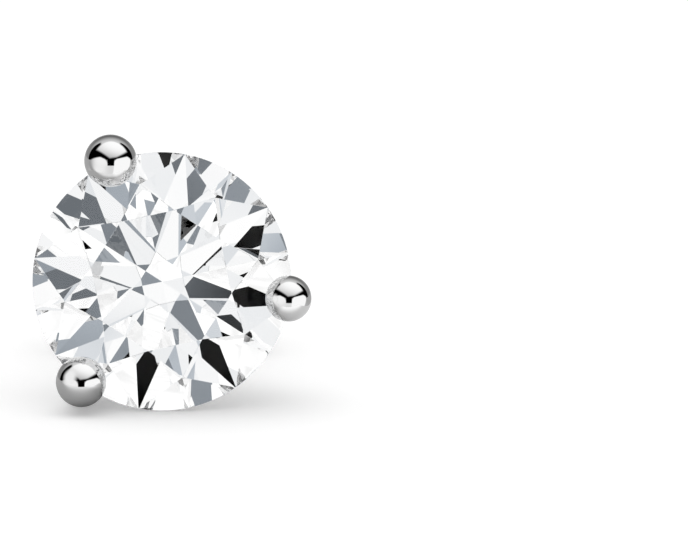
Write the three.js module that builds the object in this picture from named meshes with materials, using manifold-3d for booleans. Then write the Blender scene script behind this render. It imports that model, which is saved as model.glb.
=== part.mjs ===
// A stud earring: a round brilliant-cut stone held by three ball-tipped prongs that meet behind it on
// an ear post, with a plain friction back on the post. Millimetres, +Z up, X to the right, Y to the back.
//
// The earring is modelled in its own frame first: the girdle's centre is the origin, +z points out of
// the stone's table, +y is up on its face, and the post runs along -z. It is then laid down as it rests
// by itself: on the stone's edge in front and on the friction back behind, with its face a little up.

import * as THREE from "three";
import { mergeVertices } from "three/addons/utils/BufferGeometryUtils.js";
import Module from "manifold-3d";

const wasm = await Module();
wasm.setup();

// The stone
const STONE_DIAMETER = 6.5;
const GIRDLE_THICKNESS = 0.15;
const CROWN_ANGLE = 34.2;
const PAVILION_ANGLE = 40.8;
const FACET_TURN = -10.1; // where the first main facet points on the face, in degrees
// The cut's proportions, as gem cutters state them: shares of the girdle's diameter or of a facet's run.
const CUT = { table: 0.55, star: 0.515, lowerHalf: 0.745 };
const MAINS = 8;
const STEPS_PER_HALF_FACET = 6;

// The prongs, with the ball tip of each one: its radius and how far its centre lies outside the girdle.
const PRONGS = [
  { name: "upper", azimuth: 113.1, ballRadius: 0.66, ballReach: 0.02 },
  { name: "lower", azimuth: 231.6, ballRadius: 0.634, ballReach: -0.02 },
  { name: "side", azimuth: 352.2, ballRadius: 0.58, ballReach: -0.04 },
];
const BALL_RISE = 0.62; // of a ball's centre, in front of the girdle's middle
const WIRE_RADIUS = 0.52;
const WIRE_REACH = 0.02; // of the wire's centre line outside the girdle, beside it
const WIRE_FOOT_RADIUS = 0.42;
const WIRE_BEND_DEPTH = 0.8; // behind the girdle's middle, where the wire turns in towards the post
const WIRE_BEND_RUN = 0.45; // of the bend on each side of its corner
const SEAT_GAP = 0.06; // between the stone's girdle and its seat in a prong

// The base, where the prongs meet, and the post
const CULET_ROOM = 1.15; // from the stone's point to where the wires' centre lines meet
const BASE_RADIUS = 0.72;
const BASE_LENGTH = 0.75;
const BASE_SHOULDER = 0.12; // the rounded edge of the base at its back
const POST_RADIUS = 0.4;
const POST_LENGTH = 9.5;
const POST_TIP_LENGTH = 0.35;
const POST_TIP_RADIUS = 0.26;
const GROOVE_FROM_TIP = 2.4;
const GROOVE_WIDTH = 0.5;
const GROOVE_DEPTH = 0.06;

// The friction back: a strip of sheet whose two ends curl back and in against the post
const BACK_STRIP_WIDTH = 3.1;
const BACK_STRIP_THICKNESS = 0.3;
const BACK_CURL_RADIUS = 0.95; // of the strip's middle line
const BACK_CURL_TURN = 290; // degrees
const BACK_GAP = 0.05; // between the back and the post
const LOBE_ROOM = 2; // from the base to the back's plate

const STONE_RADIUS = STONE_DIAMETER / 2;
const HALF_GIRDLE = GIRDLE_THICKNESS / 2;
const MAIN_PITCH = 360 / MAINS;
const CULET_DEPTH = HALF_GIRDLE + STONE_RADIUS * tangent(PAVILION_ANGLE);
const BASE_BACK = -(CULET_DEPTH + CULET_ROOM + BASE_LENGTH / 2);
const POST_END = BASE_BACK - POST_LENGTH;
const BACK_FRONT = BASE_BACK - LOBE_ROOM;
const BACK_DEPTH = 2 * BACK_CURL_RADIUS + BACK_STRIP_THICKNESS;

function tangent(degrees) {
  return Math.tan(THREE.MathUtils.degToRad(degrees));
}

// A point at a radius and azimuth round the stone's axis, at a height along it.
function polar(radius, azimuth, height) {
  const angle = THREE.MathUtils.degToRad(azimuth);
  return new THREE.Vector3(
    radius * Math.cos(angle),
    radius * Math.sin(angle),
    height,
  );
}

// A solid for joining and cutting, from a closed geometry.
function solidOf(geometry) {
  const bare = geometry.clone();
  bare.deleteAttribute("normal");
  bare.deleteAttribute("uv");
  const merged = mergeVertices(bare, 1e-5);
  return new wasm.Manifold(
    new wasm.Mesh({
      numProp: 3,
      vertProperties: merged.attributes.position.array,
      triVerts: new Uint32Array(merged.index.array),
    }),
  );
}

// The geometry of a joined or cut solid.
function geometryOf(solid) {
  const mesh = solid.getMesh();
  return new THREE.BufferGeometry()
    .setAttribute(
      "position",
      new THREE.BufferAttribute(mesh.vertProperties, 3),
    )
    .setIndex(new THREE.BufferAttribute(mesh.triVerts, 1));
}

// A turned solid round z, from the outline's points given as [radius, z], which start and end on the axis.
function turned(outline, sides) {
  const points = outline.map(([radius, z]) => new THREE.Vector2(radius, z));
  return new THREE.LatheGeometry(points, sides).rotateX(Math.PI / 2);
}

// The round brilliant: a table, eight stars, eight kites, sixteen upper halves, the girdle, sixteen
// lower halves and eight pavilion mains. The halves' planes give the girdle its scalloped edges.
function brilliantCut() {
  const tableRadius = CUT.table * STONE_RADIUS;
  const tableApothem = polar(tableRadius, MAIN_PITCH / 2, 0).x;
  const starRadius = tableApothem + CUT.star * (STONE_RADIUS - tableApothem);
  const lowerRadius = (1 - CUT.lowerHalf) * STONE_RADIUS;
  const onMains = (radius) => polar(radius, MAIN_PITCH / 2, 0).x;
  const crownHeight = (radius) =>
    HALF_GIRDLE + (STONE_RADIUS - radius) * tangent(CROWN_ANGLE);
  const pavilionHeight = (radius) =>
    -HALF_GIRDLE - (STONE_RADIUS - radius) * tangent(PAVILION_ANGLE);
  const culet = polar(0, 0, pavilionHeight(0));
  const positions = [];

  // One flat facet from its corners, anticlockwise as seen from outside.
  function facet(corners) {
    for (let i = 1; i < corners.length - 1; i++)
      positions.push(
        ...[corners[0], corners[i], corners[i + 1]].flatMap((p) => p.toArray()),
      );
  }

  // The girdle points of half a main's pitch, lying on the plane through the three given points.
  function girdleArc(from, to, apex) {
    const plane = new THREE.Plane().setFromCoplanarPoints(
      apex,
      polar(STONE_RADIUS, from, Math.sign(apex.z) * HALF_GIRDLE),
      polar(STONE_RADIUS, to, Math.sign(apex.z) * HALF_GIRDLE),
    );
    return Array.from({ length: STEPS_PER_HALF_FACET + 1 }, (_, i) => {
      const azimuth = from + ((to - from) * i) / STEPS_PER_HALF_FACET;
      const point = polar(STONE_RADIUS, azimuth, 0);
      point.z = -plane.distanceToPoint(point) / plane.normal.z;
      return point;
    });
  }

  const tableCorners = [];
  for (let k = 0; k < MAINS; k++) {
    const main = FACET_TURN + k * MAIN_PITCH;
    const half = main + MAIN_PITCH / 2;
    const next = main + MAIN_PITCH;
    const starBefore = polar(
      starRadius,
      half - MAIN_PITCH,
      crownHeight(onMains(starRadius)),
    );
    const star = polar(starRadius, half, crownHeight(onMains(starRadius)));
    const corner = polar(tableRadius, main, crownHeight(tableRadius));
    const nextCorner = polar(tableRadius, next, crownHeight(tableRadius));
    const lowerBefore = polar(
      lowerRadius,
      half - MAIN_PITCH,
      pavilionHeight(onMains(lowerRadius)),
    );
    const lower = polar(lowerRadius, half, pavilionHeight(onMains(lowerRadius)));
    tableCorners.push(corner);
    facet([corner, star, nextCorner]);
    facet([corner, starBefore, polar(STONE_RADIUS, main, HALF_GIRDLE), star]);
    facet([culet, lower, polar(STONE_RADIUS, main, -HALF_GIRDLE), lowerBefore]);
    for (const [from, to] of [
      [main, half],
      [half, next],
    ]) {
      const upperArc = girdleArc(from, to, star);
      const lowerArc = girdleArc(from, to, lower);
      facet([star, ...upperArc]);
      facet([lower, ...lowerArc.toReversed()]);
      for (let i = 0; i < STEPS_PER_HALF_FACET; i++)
        facet([lowerArc[i], lowerArc[i + 1], upperArc[i + 1], upperArc[i]]);
    }
  }
  facet(tableCorners);
  return new THREE.BufferGeometry().setAttribute(
    "position",
    new THREE.Float32BufferAttribute(positions, 3),
  );
}

// A round wire along a curve that lies in the x-z plane, with a radius that runs evenly from its start
// to its end.
function taperedWire(curve, startRadius, endRadius, sides, steps) {
  const section = (i) => {
    const centre = curve.getPointAt(i / steps);
    const along = curve.getTangentAt(i / steps);
    const across = new THREE.Vector3(along.z, 0, -along.x);
    const radius = THREE.MathUtils.lerp(startRadius, endRadius, i / steps);
    return Array.from({ length: sides }, (_, j) => {
      const angle = (2 * Math.PI * j) / sides;
      return centre
        .clone()
        .addScaledVector(across, radius * Math.cos(angle))
        .add(new THREE.Vector3(0, radius * Math.sin(angle), 0));
    });
  };
  const sections = Array.from({ length: steps + 1 }, (_, i) => section(i));
  const positions = [];
  const triangle = (...corners) =>
    positions.push(...corners.flatMap((p) => p.toArray()));
  for (let i = 0; i < steps; i++)
    for (let j = 0; j < sides; j++) {
      const k = (j + 1) % sides;
      triangle(sections[i][j], sections[i][k], sections[i + 1][k]);
      triangle(sections[i][j], sections[i + 1][k], sections[i + 1][j]);
    }
  for (let j = 1; j < sides - 1; j++) {
    triangle(sections[0][0], sections[0][j + 1], sections[0][j]);
    triangle(sections[steps][0], sections[steps][j], sections[steps][j + 1]);
  }
  return new THREE.BufferGeometry().setAttribute(
    "position",
    new THREE.Float32BufferAttribute(positions, 3),
  );
}

// The way of a prong's centre line: straight out from the foot, round a bend and on to the ball.
function prongCurve(prong) {
  const foot = new THREE.Vector3(0, 0, -CULET_DEPTH - CULET_ROOM);
  const bend = new THREE.Vector3(STONE_RADIUS + WIRE_REACH, 0, -WIRE_BEND_DEPTH);
  const tip = new THREE.Vector3(STONE_RADIUS + prong.ballReach, 0, BALL_RISE);
  const towards = (from, to) =>
    from
      .clone()
      .addScaledVector(to.clone().sub(from).normalize(), WIRE_BEND_RUN);
  const curve = new THREE.CurvePath();
  curve.add(new THREE.LineCurve3(foot, towards(bend, foot)));
  curve.add(
    new THREE.QuadraticBezierCurve3(
      towards(bend, foot),
      bend,
      towards(bend, tip),
    ),
  );
  curve.add(new THREE.LineCurve3(towards(bend, tip), tip));
  return curve;
}

// One prong with its ball tip, turned to its place round the stone.
function prongSolid(prong) {
  const turn = THREE.MathUtils.degToRad(prong.azimuth);
  const wire = taperedWire(
    prongCurve(prong),
    WIRE_FOOT_RADIUS,
    Math.min(WIRE_RADIUS, prong.ballRadius),
    20,
    16,
  ).rotateZ(turn);
  const ball = new THREE.SphereGeometry(prong.ballRadius, 28, 18)
    .translate(STONE_RADIUS + prong.ballReach, 0, BALL_RISE)
    .rotateZ(turn);
  return solidOf(wire).add(solidOf(ball));
}

// The base that the prongs meet on, with the ear post: one turned solid.
function baseAndPost() {
  const grooveFront = POST_END + GROOVE_FROM_TIP + GROOVE_WIDTH;
  const outline = [
    [0, POST_END],
    [POST_TIP_RADIUS, POST_END],
    [POST_RADIUS, POST_END + POST_TIP_LENGTH],
    [POST_RADIUS, grooveFront - GROOVE_WIDTH],
    [POST_RADIUS - GROOVE_DEPTH, grooveFront - (3 * GROOVE_WIDTH) / 4],
    [POST_RADIUS - GROOVE_DEPTH, grooveFront - GROOVE_WIDTH / 4],
    [POST_RADIUS, grooveFront],
    [POST_RADIUS, BASE_BACK],
    [BASE_RADIUS - BASE_SHOULDER, BASE_BACK],
    [BASE_RADIUS, BASE_BACK + BASE_SHOULDER],
    [BASE_RADIUS, BASE_BACK + BASE_LENGTH - 2 * BASE_SHOULDER],
    [BASE_RADIUS - 2 * BASE_SHOULDER, BASE_BACK + BASE_LENGTH],
    [0, BASE_BACK + BASE_LENGTH],
  ];
  return solidOf(turned(outline, 28));
}

// The setting: prongs, base and post soldered into one, with the stone's seat cut into the prongs.
function setting(stone) {
  const seatCutter = stone
    .clone()
    .scale(...Array(3).fill(1 + SEAT_GAP / STONE_RADIUS));
  const metal = PRONGS.reduce(
    (joined, prong) => joined.add(prongSolid(prong)),
    baseAndPost(),
  );
  return geometryOf(metal.subtract(solidOf(seatCutter)));
}

// The outline of the friction back's strip seen from above: the plate in front, and the curl at each end.
function backOutline() {
  const half = BACK_STRIP_THICKNESS / 2;
  const curlCentre = new THREE.Vector2(
    POST_RADIUS + BACK_GAP + half + BACK_CURL_RADIUS,
    -half - BACK_CURL_RADIUS,
  );
  const steps = Math.round(BACK_CURL_TURN / 10);
  const arc = (radius, side) =>
    Array.from({ length: steps + 1 }, (_, i) => {
      const angle = THREE.MathUtils.degToRad(90 - (BACK_CURL_TURN * i) / steps);
      return new THREE.Vector2(
        side * (curlCentre.x + radius * Math.cos(angle)),
        curlCentre.y + radius * Math.sin(angle),
      );
    });
  const outer = BACK_CURL_RADIUS + half;
  const inner = BACK_CURL_RADIUS - half;
  return new THREE.Shape([
    ...arc(inner, -1).toReversed(),
    ...arc(inner, 1),
    ...arc(outer, 1).toReversed(),
    ...arc(outer, -1),
  ]);
}

// The friction back, with the post's hole through its plate.
function frictionBack() {
  const strip = new THREE.ExtrudeGeometry(backOutline(), {
    depth: BACK_STRIP_WIDTH,
    bevelEnabled: false,
  })
    .rotateX(Math.PI / 2)
    .translate(0, BACK_STRIP_WIDTH / 2, BACK_FRONT);
  const hole = new THREE.CylinderGeometry(
    POST_RADIUS + BACK_GAP,
    POST_RADIUS + BACK_GAP,
    2 * BACK_STRIP_THICKNESS,
    28,
  )
    .rotateX(Math.PI / 2)
    .translate(0, 0, BACK_FRONT - BACK_STRIP_THICKNESS / 2);
  return geometryOf(solidOf(strip).subtract(solidOf(hole)));
}

// How far the face leans back at rest: the stone's edge is down in front, and behind it whichever of the
// friction back and the post's tip meets the surface first.
function restLean() {
  const behind = [
    [BACK_STRIP_WIDTH / 2, BACK_DEPTH - BACK_FRONT],
    [POST_TIP_RADIUS, -POST_END],
    [POST_RADIUS, -POST_END - POST_TIP_LENGTH],
  ];
  return Math.min(
    ...behind.map(([height, depth]) =>
      Math.atan2(STONE_RADIUS - height, depth - HALF_GIRDLE),
    ),
  );
}

const STONE_LOOK = new THREE.MeshStandardMaterial({
  color: 0xe8edf2,
  roughness: 0.02,
  metalness: 0,
});
const METAL_LOOK = new THREE.MeshStandardMaterial({
  color: 0xcfd1d3,
  roughness: 0.08,
  metalness: 1,
});

function named(name, geometry, material) {
  const mesh = new THREE.Mesh(geometry, material);
  mesh.name = name;
  return mesh;
}

const stoneGeometry = brilliantCut();
const earring = new THREE.Group();
earring.add(
  named("stone", stoneGeometry, STONE_LOOK),
  named("setting", setting(stoneGeometry), METAL_LOOK),
  named("friction_back", frictionBack(), METAL_LOOK),
);
earring.rotation.x = Math.PI / 2 - restLean();

// The origin is under the middle of the earring, on the surface that it rests on.
const laid = new THREE.Group().add(earring);
const box = new THREE.Box3().setFromObject(laid, true);
earring.position.set(
  -(box.min.x + box.max.x) / 2,
  -(box.min.y + box.max.y) / 2,
  -box.min.z,
);

export default laid;
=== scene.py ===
"""A stud earring at rest on a pale table: a round brilliant-cut stone, its polished white-metal setting
with the ear post, and the friction back on the post. Lengths are in millimetres until a piece is
placed, and a piece is modelled in the earring's own frame: the girdle's centre is the origin, +z
points out of the table, +y is up on the face and the post runs along -z.
"""

import math

import bmesh
import bpy
from mathutils import Matrix, Vector


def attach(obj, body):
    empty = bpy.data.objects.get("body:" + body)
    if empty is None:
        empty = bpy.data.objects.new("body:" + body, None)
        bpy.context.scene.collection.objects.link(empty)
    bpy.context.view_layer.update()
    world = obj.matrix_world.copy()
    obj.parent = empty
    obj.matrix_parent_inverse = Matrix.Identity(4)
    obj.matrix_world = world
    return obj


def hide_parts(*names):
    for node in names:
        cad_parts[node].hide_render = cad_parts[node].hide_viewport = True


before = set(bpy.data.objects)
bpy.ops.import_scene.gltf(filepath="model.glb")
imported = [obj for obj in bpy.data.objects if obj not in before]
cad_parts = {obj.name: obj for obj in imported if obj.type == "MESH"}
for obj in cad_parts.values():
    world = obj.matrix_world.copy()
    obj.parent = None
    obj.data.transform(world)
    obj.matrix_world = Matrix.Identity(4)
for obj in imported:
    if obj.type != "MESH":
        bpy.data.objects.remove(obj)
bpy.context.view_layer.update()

# The stone, in the CAD's sizes
STONE_RADIUS = 3.25
HALF_GIRDLE = 0.075
CROWN_ANGLE = math.radians(34.2)
PAVILION_ANGLE = math.radians(40.8)
TABLE_SHARE = 0.55
STAR_SHARE = 0.515
LOWER_HALF_SHARE = 0.745
FACET_TURN = math.radians(-10.1)
MAINS = 8
GIRDLE_SEGMENTS = 192
SEAT_SEGMENTS = 96
FACET_EDGE = 0.006
GIRDLE_EDGE = 0.022
DIAMOND_IOR = 2.42

# The prongs, each with its ball tip's radius and how far the ball's centre lies outside the girdle
UPPER_PRONG = {"azimuth": 113.1, "ball_radius": 0.66, "ball_reach": 0.02}
LOWER_PRONG = {"azimuth": 231.6, "ball_radius": 0.634, "ball_reach": -0.02}
SIDE_PRONG = {"azimuth": 352.2, "ball_radius": 0.58, "ball_reach": -0.04}
PRONGS = (UPPER_PRONG, LOWER_PRONG, SIDE_PRONG)
BALL_RISE = 0.62
WIRE_RADIUS = 0.52
WIRE_REACH = 0.02
WIRE_FOOT_RADIUS = 0.42
WIRE_BEND_DEPTH = 0.8
WIRE_BEND_RUN = 0.45
SEAT_GAP = 0.06
WIRE_SIDES = 64
BEND_STEPS = 14
BALL_STEPS = 26

# The base, the post and the friction back
CULET_DEPTH = HALF_GIRDLE + STONE_RADIUS * math.tan(PAVILION_ANGLE)
CULET_ROOM = 1.15
BASE_RADIUS = 0.72
BASE_LENGTH = 0.75
BASE_SHOULDER = 0.12
BASE_BACK = -(CULET_DEPTH + CULET_ROOM + BASE_LENGTH / 2)
POST_RADIUS = 0.4
POST_LENGTH = 9.5
POST_EDGE = 0.03  # the rounding of the base's and the post's edges
POST_END = BASE_BACK - POST_LENGTH
POST_TIP_LENGTH = 0.35
POST_TIP_RADIUS = 0.26
GROOVE_FROM_TIP = 2.4
GROOVE_WIDTH = 0.5
GROOVE_DEPTH = 0.06
LOBE_ROOM = 2
BACK_FRONT = BASE_BACK - LOBE_ROOM
BACK_STRIP_WIDTH = 3.1
BACK_STRIP_THICKNESS = 0.3
BACK_CURL_RADIUS = 0.95
BACK_CURL_TURN = math.radians(290)
BACK_GAP = 0.05
BACK_EDGE = 0.04  # the rounding of the strip's edges
CURL_STEPS = 48
TURNED_STEPS = 96
SHARP_EDGE = math.radians(32)  # metal faces that meet at less than this look smooth

# Where the CAD puts the girdle's centre, and how far the face leans back
MILLIMETRE = 0.001
GIRDLE_CENTRE = Vector((-0.255264, -5.976785, 3.201981))
LEAN = math.radians(11.27076)
PLACE = (
    Matrix.Scale(MILLIMETRE, 4)
    @ Matrix.Translation(GIRDLE_CENTRE)
    @ Matrix.Rotation(math.pi / 2 - LEAN, 4, "X")
)

# The camera, in the photograph's own frame of pixels
FRAME_WIDTH = 688
FRAME_HEIGHT = 556
STONE_PIXEL = (161.8, 281.3)  # the middle of the girdle
STONE_PIXEL_RADIUS = 129.1
CAMERA_BELOW_AXIS = math.radians(0.91)
CAMERA_TO_THE_RIGHT = math.radians(0.64)  # of the stone's axis, as seen from the stone
LENS = 300.0
SENSOR = 36.0

# The part of the table that the metal mirrors, and where its painted shade and painted glow change, in
# metres
TABLE_MIRRORED_X = (-0.013, 0.009)
TABLE_MIRRORED_Y = (-0.0115, 0.0175)
TABLE_MIRRORED_SHADE_X = (-0.001, 0.0015)
TABLE_MIRRORED_GLOW_Y = (-0.0105, -0.0076)

# The card by the lower ball tip: its way from the ball in degrees right and up, and in metres its
# distance from the ball and its radius
CARD_WAY = (-53, 20)
CARD_AWAY = 0.005
CARD_RADIUS = 0.0042


def polar(radius, angle, height):
    return Vector((radius * math.cos(angle), radius * math.sin(angle), height))


# Shapes


def cut_flat(bm, corners, inside):
    """Cuts the shape along the plane through three corners, and keeps the side where inside lies."""
    a, b, c = corners
    normal = (b - a).cross(c - a).normalized()
    if normal.dot(inside - a) > 0:
        normal.negate()
    whole = bm.verts[:] + bm.edges[:] + bm.faces[:]
    cut = bmesh.ops.bisect_plane(
        bm, geom=whole, dist=1e-5, plane_co=a, plane_no=normal, clear_outer=True
    )
    rim = [e for e in cut["geom_cut"] if isinstance(e, bmesh.types.BMEdge)]
    bmesh.ops.edgeloop_fill(bm, edges=[e for e in rim if e.is_boundary])


def rounded(bm, edges, width, segments=3):
    """Rounds the edges, and returns the faces that this makes."""
    return bmesh.ops.bevel(
        bm,
        geom=edges,
        offset=width,
        segments=segments,
        profile=0.5,
        affect="EDGES",
        material=-1,
        clamp_overlap=True,
    )["faces"]


def brilliant_cut(gap=0.0, segments=GIRDLE_SEGMENTS):
    """The round brilliant, cut facet by facet out of a cylinder."""
    bm = bmesh.new()
    crown_apex = STONE_RADIUS * math.tan(CROWN_ANGLE) + HALF_GIRDLE
    turn = Matrix.Rotation(FACET_TURN, 4, "Z")
    bmesh.ops.create_cone(
        bm,
        cap_ends=True,
        segments=segments,
        radius1=STONE_RADIUS,
        radius2=STONE_RADIUS,
        depth=4 * STONE_RADIUS,
        matrix=turn,
    )
    inside = Vector((0, 0, 0))
    half = math.pi / MAINS
    table_radius = TABLE_SHARE * STONE_RADIUS
    table_apothem = table_radius * math.cos(half)
    star_radius = table_apothem + STAR_SHARE * (STONE_RADIUS - table_apothem)
    lower_radius = (1 - LOWER_HALF_SHARE) * STONE_RADIUS

    def on_crown(radius, angle, share=1.0):
        return polar(
            radius, angle, crown_apex - radius * share * math.tan(CROWN_ANGLE)
        )

    def on_pavilion(radius, angle, share=1.0):
        return polar(
            radius, angle, radius * share * math.tan(PAVILION_ANGLE) - CULET_DEPTH
        )

    cut_flat(bm, [on_crown(table_radius, k * 2 * half) for k in range(3)], inside)
    for k in range(MAINS):
        main = FACET_TURN + 2 * k * half
        across = Vector((-math.sin(main), math.cos(main), 0))
        for apex, rim_height in (
            (Vector((0, 0, crown_apex)), HALF_GIRDLE),
            (Vector((0, 0, -CULET_DEPTH)), -HALF_GIRDLE),
        ):
            rim = polar(STONE_RADIUS, main, rim_height)
            cut_flat(bm, [apex, rim, rim + across], inside)
        star = on_crown(star_radius, main + half, math.cos(half))
        lower = on_pavilion(lower_radius, main + half, math.cos(half))
        corners = [on_crown(table_radius, main), on_crown(table_radius, main + 2 * half)]
        cut_flat(bm, [*corners, star], inside)
        for tip, rim_height in ((star, HALF_GIRDLE), (lower, -HALF_GIRDLE)):
            for side in (main, main + 2 * half):
                rim = [
                    polar(STONE_RADIUS, angle, rim_height)
                    for angle in (side, main + half)
                ]
                cut_flat(bm, [tip, *rim], inside)
    bmesh.ops.remove_doubles(bm, verts=bm.verts[:], dist=1e-4)
    bmesh.ops.recalc_face_normals(bm, faces=bm.faces[:])
    for face in bm.faces:
        on_girdle = abs(face.normal.z) < 0.01
        face.material_index = int(on_girdle)
        face.smooth = on_girdle
    if gap:
        bmesh.ops.scale(bm, vec=Vector((1, 1, 1)) * (1 + gap / STONE_RADIUS), verts=bm.verts[:])
    return bm


def polished(bm):
    """Takes the edge off the girdle and off the crown's facets, as the polishing wheel leaves them."""
    crown = [e for e in bm.edges if all(face.normal.z > 0.05 for face in e.link_faces)]
    rounded(bm, crown, FACET_EDGE / 2, 1)
    rim = [e for e in bm.edges if len({face.material_index for face in e.link_faces}) == 2]
    for face in rounded(bm, rim, GIRDLE_EDGE, 2):
        face.material_index = 1
        face.smooth = True
    return bm


def prong_way(ball_reach, ball_radius):
    """The rings of one prong in the x-z plane, from the foot to the ball's pole: centre, way and radius."""
    foot = Vector((0, 0, -CULET_DEPTH - CULET_ROOM))
    bend = Vector((STONE_RADIUS + WIRE_REACH, 0, -WIRE_BEND_DEPTH))
    tip = Vector((STONE_RADIUS + ball_reach, 0, BALL_RISE))
    start = bend + (foot - bend).normalized() * WIRE_BEND_RUN
    end = bend + (tip - bend).normalized() * WIRE_BEND_RUN
    tip_radius = min(WIRE_RADIUS, ball_radius)
    way_out = (bend - foot).normalized()
    way_up = (tip - bend).normalized()
    whole = (start - foot).length + (end - start).length + (tip - end).length
    rings = [(foot, way_out, WIRE_FOOT_RADIUS)]
    for i in range(BEND_STEPS + 1):
        t = i / BEND_STEPS
        centre = start * (1 - t) ** 2 + bend * 2 * t * (1 - t) + end * t**2
        way = ((bend - start) * (1 - t) + (end - bend) * t).normalized()
        run = (start - foot).length + (centre - start).length
        radius = WIRE_FOOT_RADIUS + (tip_radius - WIRE_FOOT_RADIUS) * run / whole
        rings.append((centre, way, radius))
    neck = math.asin(min(1.0, tip_radius / ball_radius))
    for i in range(BALL_STEPS + 1):
        angle = neck + (math.pi - neck) * i / (BALL_STEPS + 1)
        centre = tip - way_up * ball_radius * math.cos(angle)
        rings.append((centre, way_up, ball_radius * math.sin(angle)))
    return rings, tip + way_up * ball_radius


def prong(azimuth, ball_radius, ball_reach):
    """A round wire, extruded ring by ring from its foot to the pole of its ball tip."""
    rings, pole = prong_way(ball_reach, ball_radius)
    bm = bmesh.new()

    def stance(ring):
        centre, way, radius = ring
        return (
            Matrix.Translation(centre)
            @ Matrix.Rotation(math.atan2(way.x, way.z), 4, "Y")
            @ Matrix.Diagonal((radius, radius, 1, 1))
        )

    bmesh.ops.create_circle(
        bm, cap_ends=True, segments=WIRE_SIDES, radius=1, matrix=stance(rings[0])
    )
    rim = bm.edges[:]
    for before, after in zip(rings, rings[1:]):
        grown = bmesh.ops.extrude_edge_only(bm, edges=rim)["geom"]
        rim = [g for g in grown if isinstance(g, bmesh.types.BMEdge) and g.is_boundary]
        bmesh.ops.transform(
            bm,
            matrix=stance(after) @ stance(before).inverted(),
            verts=[g for g in grown if isinstance(g, bmesh.types.BMVert)],
        )
    cap = bmesh.ops.edgeloop_fill(bm, edges=rim)["faces"]
    bmesh.ops.poke(bm, faces=cap)["verts"][0].co = pole
    turn = Matrix.Rotation(math.radians(azimuth), 4, "Z")
    bmesh.ops.transform(bm, matrix=turn, verts=bm.verts[:])
    bmesh.ops.recalc_face_normals(bm, faces=bm.faces[:])
    return bm


def turned(outline, rounding=0.0):
    """A solid turned round z from its outline of (radius, z) points, with its corners rounded."""
    bm = bmesh.new()
    verts = [bm.verts.new((radius, 0, z)) for radius, z in outline]
    edges = [bm.edges.new(pair) for pair in zip(verts, verts[1:])]
    bmesh.ops.spin(
        bm,
        geom=verts + edges,
        axis=(0, 0, 1),
        cent=(0, 0, 0),
        angle=2 * math.pi,
        steps=TURNED_STEPS,
        use_merge=True,
    )
    bmesh.ops.remove_doubles(bm, verts=bm.verts[:], dist=1e-5)
    bmesh.ops.recalc_face_normals(bm, faces=bm.faces[:])
    if rounding:
        corners = [e for e in bm.edges if e.calc_face_angle(0) > math.radians(18)]
        rounded(bm, corners, rounding)
    return bm


def base_and_post():
    groove = POST_END + GROOVE_FROM_TIP
    return turned(
        [
            (0, POST_END),
            (POST_TIP_RADIUS, POST_END),
            (POST_RADIUS, POST_END + POST_TIP_LENGTH),
            (POST_RADIUS, groove),
            (POST_RADIUS - GROOVE_DEPTH, groove + GROOVE_WIDTH / 4),
            (POST_RADIUS - GROOVE_DEPTH, groove + 3 * GROOVE_WIDTH / 4),
            (POST_RADIUS, groove + GROOVE_WIDTH),
            (POST_RADIUS, BASE_BACK),
            (BASE_RADIUS - BASE_SHOULDER, BASE_BACK),
            (BASE_RADIUS, BASE_BACK + BASE_SHOULDER),
            (BASE_RADIUS, BASE_BACK + BASE_LENGTH - 2 * BASE_SHOULDER),
            (BASE_RADIUS - 2 * BASE_SHOULDER, BASE_BACK + BASE_LENGTH),
            (0, BASE_BACK + BASE_LENGTH),
        ],
        rounding=POST_EDGE,
    )


def loose(name, bm):
    """A shape as an object of its own, for joining and cutting."""
    mesh = bpy.data.meshes.new(name)
    bm.to_mesh(mesh)
    bm.free()
    made = bpy.data.objects.new(name, mesh)
    bpy.context.scene.collection.objects.link(made)
    return made


def worked(bm, *steps):
    """The shape after each step, which is UNION or DIFFERENCE with another shape."""
    blank = loose("blank", bm)
    tools = []
    for operation, other in steps:
        tool = loose("tool", other)
        tools.append(tool)
        work = blank.modifiers.new(operation.lower(), "BOOLEAN")
        work.operation = operation
        work.object = tool
        work.solver = "MANIFOLD"
    depsgraph = bpy.context.evaluated_depsgraph_get()
    result = bmesh.new()
    result.from_mesh(blank.evaluated_get(depsgraph).to_mesh())
    for used in (blank, *tools):
        bpy.data.objects.remove(used)
    bmesh.ops.remove_doubles(result, verts=result.verts[:], dist=1e-5)
    return result


def setting():
    """Prongs, base and post soldered into one, with the stone's seat cut into the prongs."""
    seated = [
        worked(prong(**p), ("DIFFERENCE", brilliant_cut(SEAT_GAP, SEAT_SEGMENTS))) for p in PRONGS
    ]
    return worked(base_and_post(), *[("UNION", other) for other in seated])


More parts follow.
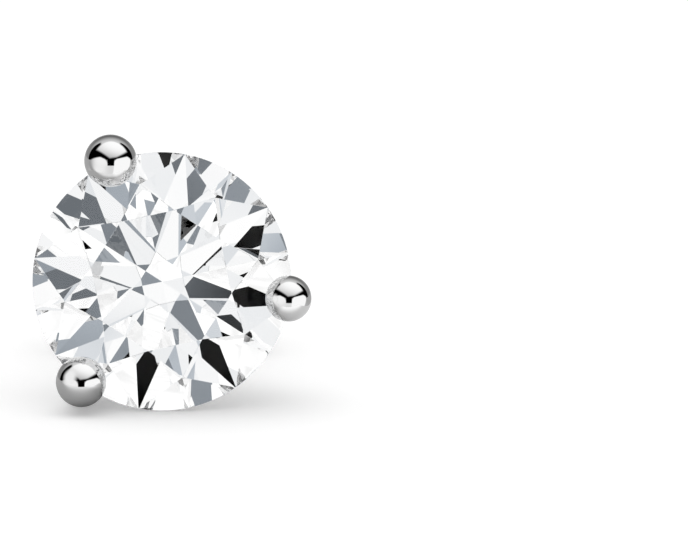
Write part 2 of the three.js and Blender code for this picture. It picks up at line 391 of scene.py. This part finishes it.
def friction_back():
    """A strip of sheet with its two ends curled back and in against the post, and the post's hole."""
    outer_radius = BACK_CURL_RADIUS + BACK_STRIP_THICKNESS / 2
    curl_x = POST_RADIUS + BACK_GAP + outer_radius
    bm = bmesh.new()
    ends = [bm.verts.new((side * curl_x, 0, BACK_FRONT)) for side in (-1, 1)]
    for side, end in zip((-1, 1), ends):
        bmesh.ops.spin(
            bm,
            geom=[end],
            axis=(0, 1, 0),
            cent=(side * curl_x, 0, BACK_FRONT - outer_radius),
            angle=side * BACK_CURL_TURN,
            steps=CURL_STEPS,
        )
    bm.edges.new(ends)
    bmesh.ops.translate(bm, vec=(0, -BACK_STRIP_WIDTH / 2, 0), verts=bm.verts[:])
    grown = bmesh.ops.extrude_edge_only(bm, edges=bm.edges[:])["geom"]
    bmesh.ops.translate(
        bm,
        vec=(0, BACK_STRIP_WIDTH, 0),
        verts=[g for g in grown if isinstance(g, bmesh.types.BMVert)],
    )
    bmesh.ops.recalc_face_normals(bm, faces=bm.faces[:])
    whole = bm.verts[:] + bm.edges[:] + bm.faces[:]
    bmesh.ops.solidify(bm, geom=whole, thickness=BACK_STRIP_THICKNESS)
    bmesh.ops.recalc_face_normals(bm, faces=bm.faces[:])
    corners = [e for e in bm.edges if e.calc_face_angle(0) > math.radians(60)]
    rounded(bm, corners, BACK_EDGE)
    hole_radius = POST_RADIUS + BACK_GAP
    middle = BACK_FRONT - BACK_STRIP_THICKNESS / 2
    hole = turned(
        [
            (0, middle - BACK_STRIP_THICKNESS),
            (hole_radius, middle - BACK_STRIP_THICKNESS),
            (hole_radius, middle + BACK_STRIP_THICKNESS),
            (0, middle + BACK_STRIP_THICKNESS),
        ]
    )
    return worked(bm, ("DIFFERENCE", hole))


# Materials


def link(tree, source, target):
    tree.links.new(source, target)


def feed(tree, socket, value):
    """Gives a socket its value: a number, or another node's output."""
    if isinstance(value, (int, float)):
        socket.default_value = value
    else:
        link(tree, value, socket)


def node(tree, kind, **values):
    made = tree.nodes.new("ShaderNode" + kind)
    for name, value in values.items():
        setattr(made, name, value)
    return made


def polish_group():
    """What a buffing wheel leaves: a roughness that varies a little, and hair-fine marks."""
    tree = bpy.data.node_groups.new("polish", "ShaderNodeTree")
    face = tree.interface
    for name, kind, low in (
        ("Scale", "NodeSocketFloat", 1.0),
        ("Smoothest", "NodeSocketFloat", 0.02),
        ("Roughest", "NodeSocketFloat", 0.06),
    ):
        face.new_socket(name, in_out="INPUT", socket_type=kind).default_value = low
    face.new_socket("Roughness", in_out="OUTPUT", socket_type="NodeSocketFloat")
    face.new_socket("Height", in_out="OUTPUT", socket_type="NodeSocketFloat")
    into = tree.nodes.new("NodeGroupInput")
    out = tree.nodes.new("NodeGroupOutput")
    where = node(tree, "TexCoord")
    sized = node(tree, "VectorMath", operation="SCALE")
    clouds = node(tree, "TexNoise")
    clouds.inputs["Scale"].default_value = 900
    clouds.inputs["Detail"].default_value = 4
    stretched = node(tree, "Mapping")
    stretched.inputs["Scale"].default_value = (1.0, 1.0, 0.06)
    marks = node(tree, "TexNoise")
    marks.inputs["Scale"].default_value = 14000
    marks.inputs["Detail"].default_value = 3
    spread = node(tree, "MapRange")
    spread.inputs["From Min"].default_value = 0.35
    spread.inputs["From Max"].default_value = 0.7
    link(tree, where.outputs["Object"], sized.inputs[0])
    link(tree, into.outputs["Scale"], sized.inputs["Scale"])
    link(tree, sized.outputs[0], clouds.inputs["Vector"])
    link(tree, sized.outputs[0], stretched.inputs["Vector"])
    link(tree, stretched.outputs[0], marks.inputs["Vector"])
    link(tree, clouds.outputs["Fac"], spread.inputs["Value"])
    link(tree, into.outputs["Smoothest"], spread.inputs["To Min"])
    link(tree, into.outputs["Roughest"], spread.inputs["To Max"])
    link(tree, spread.outputs[0], out.inputs["Roughness"])
    link(tree, marks.outputs["Fac"], out.inputs["Height"])
    return tree


POLISH = polish_group()


def finish_of(name, colour, smoothest, roughest, marks, metallic=0.0, scale=1.0):
    """A Principled material with the polish on its roughness and its surface."""
    material = bpy.data.materials.new(name)
    material.use_nodes = True
    tree = material.node_tree
    shader = tree.nodes["Principled BSDF"]
    shader.inputs["Base Color"].default_value = (*colour, 1)
    shader.inputs["Metallic"].default_value = metallic
    polish = node(tree, "Group", node_tree=POLISH)
    polish.inputs["Scale"].default_value = scale
    polish.inputs["Smoothest"].default_value = smoothest
    polish.inputs["Roughest"].default_value = roughest
    link(tree, polish.outputs["Roughness"], shader.inputs["Roughness"])
    if marks:
        bump = node(tree, "Bump")
        bump.inputs["Strength"].default_value = marks
        bump.inputs["Distance"].default_value = 0.000002
        link(tree, polish.outputs["Height"], bump.inputs["Height"])
        link(tree, bump.outputs["Normal"], shader.inputs["Normal"])
    return material


def clear_stone():
    material = finish_of("clear_stone", (1.0, 1.0, 1.0), 0.0, 0.004, 0)
    shader = material.node_tree.nodes["Principled BSDF"]
    shader.inputs["IOR"].default_value = DIAMOND_IOR
    shader.inputs["Transmission Weight"].default_value = 1.0
    shader.inputs["Specular Tint"].default_value = (0.04, 0.04, 0.04, 1)
    return material


# A frosted girdle, rough and partly clear. Its dark grey colour is painted shade that draws a dark line
# round the stone.
def frosted_shaded_girdle():
    material = finish_of("frosted_shaded_girdle", (0.22, 0.23, 0.25), 0.2, 0.4, 0.4, scale=3.0)
    shader = material.node_tree.nodes["Principled BSDF"]
    shader.inputs["IOR"].default_value = DIAMOND_IOR
    shader.inputs["Transmission Weight"].default_value = 0.25
    return material


CLEAR_STONE = clear_stone()
FROSTED_SHADED_GIRDLE = frosted_shaded_girdle()
WHITE_METAL = finish_of("white_metal", (0.70, 0.70, 0.70), 0.015, 0.045, 0.15, metallic=1.0)


def smoothed(bm):
    """Shades the faces as one smooth surface, but for the sharp edges."""
    for face in bm.faces:
        face.smooth = True
    for edge in bm.edges:
        edge.smooth = edge.calc_face_angle(0) < SHARP_EDGE
    return bm


def dress(name, bm, materials):
    """Places a finished shape as a piece that stands for the CAD node of its name."""
    bmesh.ops.transform(bm, matrix=PLACE, verts=bm.verts[:])
    piece = loose(name + "_finished", bm)
    for material in materials:
        piece.data.materials.append(material)
    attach(piece, "root")
    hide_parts(name)


dress("stone", polished(brilliant_cut()), [CLEAR_STONE, FROSTED_SHADED_GIRDLE])
dress("setting", smoothed(setting()), [WHITE_METAL])
dress("friction_back", smoothed(friction_back()), [WHITE_METAL])


# The stage


def to_camera_axes():
    """The camera's right and up, and the way from the stone to the camera, as the columns of a turn."""
    elevation = LEAN - CAMERA_BELOW_AXIS
    level = Matrix.Rotation(CAMERA_TO_THE_RIGHT, 3, "Z")
    return level @ Matrix.Rotation(math.pi / 2 - elevation, 3, "X")


VIEW = to_camera_axes()


def aim_camera():
    """Puts the middle of the girdle on its pixel, seen along the line of sight that VIEW gives."""
    scale = STONE_RADIUS / STONE_PIXEL_RADIUS
    away = scale * FRAME_WIDTH * LENS / SENSOR
    from_middle = Vector(
        (STONE_PIXEL[0] - FRAME_WIDTH / 2, FRAME_HEIGHT / 2 - STONE_PIXEL[1], 0)
    )
    # The frame's middle lies off the line of sight by the angles of the stone's offset in the frame
    aside = math.atan2(from_middle.x * scale, away)
    above = math.atan2(from_middle.y * scale, away)
    lens = bpy.data.cameras.new("camera")
    lens.lens = LENS
    lens.sensor_width = SENSOR
    lens.sensor_fit = "HORIZONTAL"
    lens.clip_start = 0.001
    lens.clip_end = 20
    camera = bpy.data.objects.new("camera", lens)
    camera.location = (GIRDLE_CENTRE + VIEW @ Vector((0, 0, away))) * MILLIMETRE
    turn = VIEW @ Matrix.Rotation(aside, 3, "Y") @ Matrix.Rotation(-above, 3, "X")
    camera.rotation_euler = turn.to_euler()
    bpy.context.scene.collection.objects.link(camera)
    bpy.context.scene.camera = camera


def towards(right, up):
    """The direction that many degrees to the right and up, where the camera is straight ahead."""
    azimuth, elevation = math.radians(right), math.radians(up)
    return Vector(
        (
            math.sin(azimuth) * math.cos(elevation),
            math.sin(elevation),
            math.cos(azimuth) * math.cos(elevation),
        )
    )


class Sky:
    """Paints the light all round on the world, by direction from the earring."""

    def __init__(self, tree):
        self.tree = tree
        self.ray = node(tree, "TexCoord").outputs["Generated"]

    def side(self, normal):
        """How far a direction lies past the plane with this normal, in the camera's axes."""
        made = node(self.tree, "VectorMath", operation="DOT_PRODUCT")
        made.inputs[1].default_value = VIEW @ Vector(normal).normalized()
        link(self.tree, self.ray, made.inputs[0])
        return made.outputs["Value"]

    def math(self, operation, *values):
        made = node(self.tree, "Math", operation=operation)
        for socket, value in zip(made.inputs, values):
            feed(self.tree, socket, value)
        return made.outputs[0]

    def least(self, values, rounding):
        best = values[0]
        for value in values[1:]:
            best = self.math("SMOOTH_MIN", best, value, rounding)
        return best

    def ramp(self, value, middle, soft, low=0.0, high=1.0):
        made = node(self.tree, "MapRange", interpolation_type="SMOOTHSTEP")
        made.inputs["From Min"].default_value = middle - soft
        made.inputs["From Max"].default_value = middle + soft
        made.inputs["To Min"].default_value = low
        made.inputs["To Max"].default_value = high
        link(self.tree, value, made.inputs["Value"])
        return made.outputs[0]

    def mix(self, mask, below, above):
        made = node(self.tree, "Mix", data_type="FLOAT")
        for socket, value in zip(made.inputs[:1] + made.inputs[2:4], (mask, below, above)):
            feed(self.tree, socket, value)
        return made.outputs[0]

    def card(self, corners, soft, rounding=1.0):
        """Where a flat card hides the sky. Corners, softness and rounding are in degrees."""
        directions = [towards(*corner) for corner in corners]
        middle = sum(directions, Vector())
        sides = []
        for a, b in zip(directions, directions[1:] + directions[:1]):
            normal = a.cross(b)
            sides.append(self.side(normal if normal.dot(middle) > 0 else -normal))
        inside = self.least(sides, math.radians(rounding))
        return self.ramp(inside, 0, math.radians(soft))


def light_on_metal(sky):
    """What the polished metal mirrors: a panel overhead and one on each side, with unlit gaps."""
    height, nearness = sky.side((0, 1, 0)), sky.side((0, 0, 1))
    across = sky.math("ABSOLUTE", sky.side((1, 0, 0)))
    behind = sky.mix(
        sky.ramp(nearness, -0.88, 0.05), 0.5, sky.ramp(nearness, -0.45, 0.4, 0.12, 0.85)
    )
    glow = sky.mix(sky.ramp(height, 0.5, 0.2), 0.32, behind)
    in_front = sky.math("MULTIPLY_ADD", across, 0.46, nearness)
    between = [
        in_front,
        sky.math("SUBTRACT", height, 0.05),
        sky.math("SUBTRACT", 0.87, height),
    ]
    glow = sky.mix(sky.ramp(sky.least(between, 0.03), 0, 0.03), glow, 0.0)
    left_glow = sky.ramp(sky.side((-0.64, 0, 0.77)), 0.72, 0.3, 0.45, 1.25)
    upwards = VIEW.inverted() @ Vector((0, 0, 1))
    # Below the horizon, a floor painted on the sky: the painted reflection of the table past its near part,
    # with painted shade, greyer behind and brighter in front.
    painted_floor = sky.mix(
        sky.ramp(nearness, 0.0, 0.35),
        sky.ramp(height, -0.45, 0.35, 0.9, 0.5),
        sky.ramp(across, 0.3, 0.25, 0.98, 1.15),
    )
    glow = sky.mix(sky.ramp(sky.side(upwards), 0, 0.004), painted_floor, glow)
    left = sky.card([(-14, -26), (-14, -8), (-23, 5), (-46, 14), (-80, 8), (-112, -2), (-112, -26)], 3, 3)
    right = sky.card([(17, -60), (17, -4), (27, 6), (81, 13.5), (98, 5), (98, -60)], 2.5, 3)
    glow = sky.mix(left, glow, left_glow)
    glow = sky.mix(right, glow, 1.34)
    stem = sky.card([(-14, -22.5), (17, -22.5), (17, 12), (-14, 12)], 1.5, 1)
    glow = sky.mix(stem, glow, 0.0)
    top = sky.card([(-3, 10.5), (28, 14.5), (72, 27), (104, 30), (180, 86), (-97, 37)], 5, 4)
    return sky.mix(top, glow, sky.ramp(sky.side((0.3, 1, 0)), 0.5, 0.55, 0.55, 1.42))


def light_through_stone(sky):
    """What the stone gathers: white all round, and the dark cards that give its facets contrast."""
    clouds = node(sky.tree, "TexNoise")
    clouds.inputs["Scale"].default_value = 4.0
    clouds.inputs["Detail"].default_value = 1.0
    link(sky.tree, sky.ray, clouds.inputs["Vector"])
    low = sky.ramp(sky.side((0, 1, 0)), -0.19, 0.12, 1.12, 0.95)
    white = sky.math("MULTIPLY", low, sky.ramp(clouds.outputs["Fac"], 0.5, 0.16, 0.9, 1.06))
    glow = sky.mix(sky.card([(-36, -19), (-15, -15), (-17, 2), (-38, 12)], 5, 4), white, 0.34)
    glow = sky.mix(sky.card([(29, -12), (49, -10), (49, 5), (29, 5)], 5, 4), glow, 0.3)
    glow = sky.mix(sky.card([(-19, 16), (13, 20), (13, 40), (-10, 40), (-19, 32)], 1.5, 2), glow, 0.17)
    glow = sky.mix(sky.card([(-5, 20), (4.5, 21), (5, 38), (-5, 37)], 1.2, 2), glow, 0.0)
    glow = sky.mix(
        sky.card([(-10, -13), (10, -13.5), (19, -5), (17, 4.5), (2, 5), (-9, 0)], 2, 2), glow, 0.24
    )
    return sky.mix(
        sky.card([(-7, -10), (3, -10.5), (8, -6.5), (12.5, -1), (11, 3.5), (4, 2), (-6, -1.5)], 1.2, 2),
        glow,
        0.0,
    )


def studio():
    """The light all round: even on the table, and painted for the metal and for the stone."""
    world = bpy.data.worlds.new("studio")
    bpy.context.scene.world = world
    world.use_nodes = True
    tree = world.node_tree
    tree.nodes.clear()
    sky = Sky(tree)
    light = node(tree, "LightPath")
    height = node(tree, "SeparateXYZ")
    link(tree, sky.ray, height.inputs[0])
    overhead = sky.ramp(height.outputs["Z"], 0.6, 0.45, 0.3, 1.42)
    through = light_through_stone(sky)
    cool = node(tree, "Mix", data_type="RGBA")
    cool.inputs["A"].default_value = (0.84, 0.93, 1.03, 1)
    cool.inputs["B"].default_value = (1, 1, 1, 1)
    shown = sky.mix(light.outputs["Is Glossy Ray"], overhead, light_on_metal(sky))
    shown = sky.mix(light.outputs["Is Transmission Ray"], shown, through)
    shown = sky.mix(light.outputs["Is Camera Ray"], shown, 0.995)
    neutral = sky.math(
        "MAXIMUM",
        sky.math("SUBTRACT", 1.0, light.outputs["Is Transmission Ray"]),
        sky.ramp(through, 0.7, 0.35),
    )
    link(tree, neutral, cool.inputs["Factor"])
    background = node(tree, "Background")
    link(tree, cool.outputs["Result"], background.inputs["Color"])
    out = node(tree, "OutputWorld")
    link(tree, shown, background.inputs["Strength"])
    link(tree, background.outputs[0], out.inputs["Surface"])


def pale_table():
    """White acrylic with a painted glow of its own, as if lit a little from below. The metal mirrors it
    greyer than the eye sees it: painted shade, darker to the left, with a painted glow along its front
    edge.
    """
    material = bpy.data.materials.new("pale_table")
    material.use_nodes = True
    tree = material.node_tree
    shader = tree.nodes["Principled BSDF"]
    shader.inputs["Roughness"].default_value = 0.7
    shader.inputs["Specular IOR Level"].default_value = 0.0
    shader.inputs["Emission Color"].default_value = (1, 1, 1, 1)
    light = node(tree, "LightPath")
    mirrored = node(tree, "Math", operation="SUBTRACT", use_clamp=True)
    link(tree, light.outputs["Is Glossy Ray"], mirrored.inputs[0])
    link(tree, light.outputs["Is Transmission Ray"], mirrored.inputs[1])
    where = node(tree, "TexCoord")
    place = node(tree, "SeparateXYZ")
    link(tree, where.outputs["Object"], place.inputs[0])

    def fade(source, span, low, high):
        made = node(tree, "MapRange", interpolation_type="SMOOTHSTEP")
        for socket, value in zip(list(made.inputs)[1:5], (*span, low, high)):
            socket.default_value = value
        link(tree, source, made.inputs["Value"])
        return made.outputs[0]

    def blend(mask, first, second):
        made = node(tree, "Mix", data_type="FLOAT")
        for socket, value in zip(made.inputs[:1] + made.inputs[2:4], (mask, first, second)):
            feed(tree, socket, value)
        return made.outputs[0]

    # Painted glow: the table gives off light of its own, uneven in soft clouds to most rays and steady to
    # the rays through the stone.
    clouds = node(tree, "TexNoise")
    clouds.inputs["Scale"].default_value = 330.0
    clouds.inputs["Detail"].default_value = 2.0
    link(tree, where.outputs["Object"], clouds.inputs["Vector"])
    seen = blend(
        light.outputs["Is Transmission Ray"], 0.29, fade(clouds.outputs["Fac"], (0.38, 0.6), 0.14, 0.36)
    )
    # For the rays that the metal mirrors: a painted glow near the front edge, and painted shade that greys
    # the table to the left.
    glow = blend(mirrored.outputs[0], seen, fade(place.outputs["Y"], TABLE_MIRRORED_GLOW_Y, 0.55, 0.0))
    tone = blend(mirrored.outputs[0], 0.8, fade(place.outputs["X"], TABLE_MIRRORED_SHADE_X, 0.52, 0.82))
    grey = node(tree, "CombineColor")
    for channel in grey.inputs:
        link(tree, tone, channel)
    link(tree, glow, shader.inputs["Emission Strength"])
    link(tree, grey.outputs[0], shader.inputs["Base Color"])
    return material


def table_top():
    """The table in two parts. The metal mirrors the near one, and the painted sky past it."""
    near_x, near_y = TABLE_MIRRORED_X, TABLE_MIRRORED_Y
    far = 2.0
    bm = bmesh.new()
    bmesh.ops.create_grid(bm, x_segments=3, y_segments=3, size=3.0)
    for vert in bm.verts:
        for axis, near in ((0, near_x), (1, near_y)):
            side = vert.co[axis] > 0
            vert.co[axis] = near[side] if abs(vert.co[axis]) < 2 else (-far, far)[side]
    middle = (sum(near_x) / 2, sum(near_y) / 2, 0)
    inner = [f for f in bm.faces if (f.calc_center_median() - Vector(middle)).length < 0.001]
    outer = [f for f in bm.faces if f not in inner]
    material = pale_table()
    for name, other in (("table_near", outer), ("table_far", inner)):
        part = bm.copy()
        part.faces.ensure_lookup_table()
        bmesh.ops.delete(part, geom=[part.faces[f.index] for f in other], context="FACES")
        table = loose(name, part)
        table.data.materials.append(material)
        table.visible_glossy = name == "table_near"
    bm.free()


def white_card():
    """A small soft-edged card close to the lower ball tip, that only the metal mirrors."""
    reach = STONE_RADIUS + LOWER_PRONG["ball_reach"]
    ball_centre = PLACE @ polar(reach, math.radians(LOWER_PRONG["azimuth"]), BALL_RISE)
    way = VIEW @ towards(*CARD_WAY)
    centre = ball_centre + way * CARD_AWAY
    bm = bmesh.new()
    bmesh.ops.create_circle(
        bm,
        cap_ends=True,
        segments=48,
        radius=CARD_RADIUS,
        matrix=Matrix.Translation(centre) @ way.to_track_quat("Z", "Y").to_matrix().to_4x4(),
    )
    material = bpy.data.materials.new("white_card")
    material.use_nodes = True
    tree = material.node_tree
    shader = tree.nodes["Principled BSDF"]
    shader.inputs["Base Color"].default_value = (0, 0, 0, 1)
    shader.inputs["Roughness"].default_value = 1.0
    shader.inputs["Specular IOR Level"].default_value = 0.0
    shader.inputs["Emission Color"].default_value = (1, 1, 1, 1)
    shader.inputs["Emission Strength"].default_value = 1.2
    where = node(tree, "TexCoord")
    from_centre = node(tree, "VectorMath", operation="DISTANCE")
    from_centre.inputs[1].default_value = centre
    solid = node(tree, "MapRange", interpolation_type="SMOOTHSTEP")
    solid.inputs["From Min"].default_value = CARD_RADIUS
    solid.inputs["From Max"].default_value = CARD_RADIUS * 0.3
    link(tree, where.outputs["Object"], from_centre.inputs[0])
    link(tree, from_centre.outputs["Value"], solid.inputs["Value"])
    link(tree, solid.outputs[0], shader.inputs["Alpha"])
    card = loose("white_card", bm)
    card.data.materials.append(material)
    card.visible_camera = False
    card.visible_diffuse = False
    card.visible_transmission = False
    card.visible_shadow = False


aim_camera()
studio()
table_top()
white_card()
scene = bpy.context.scene
scene.view_settings.view_transform = "Standard"
scene.cycles.max_bounces = 32
scene.cycles.glossy_bounces = 20
scene.cycles.transmission_bounces = 24
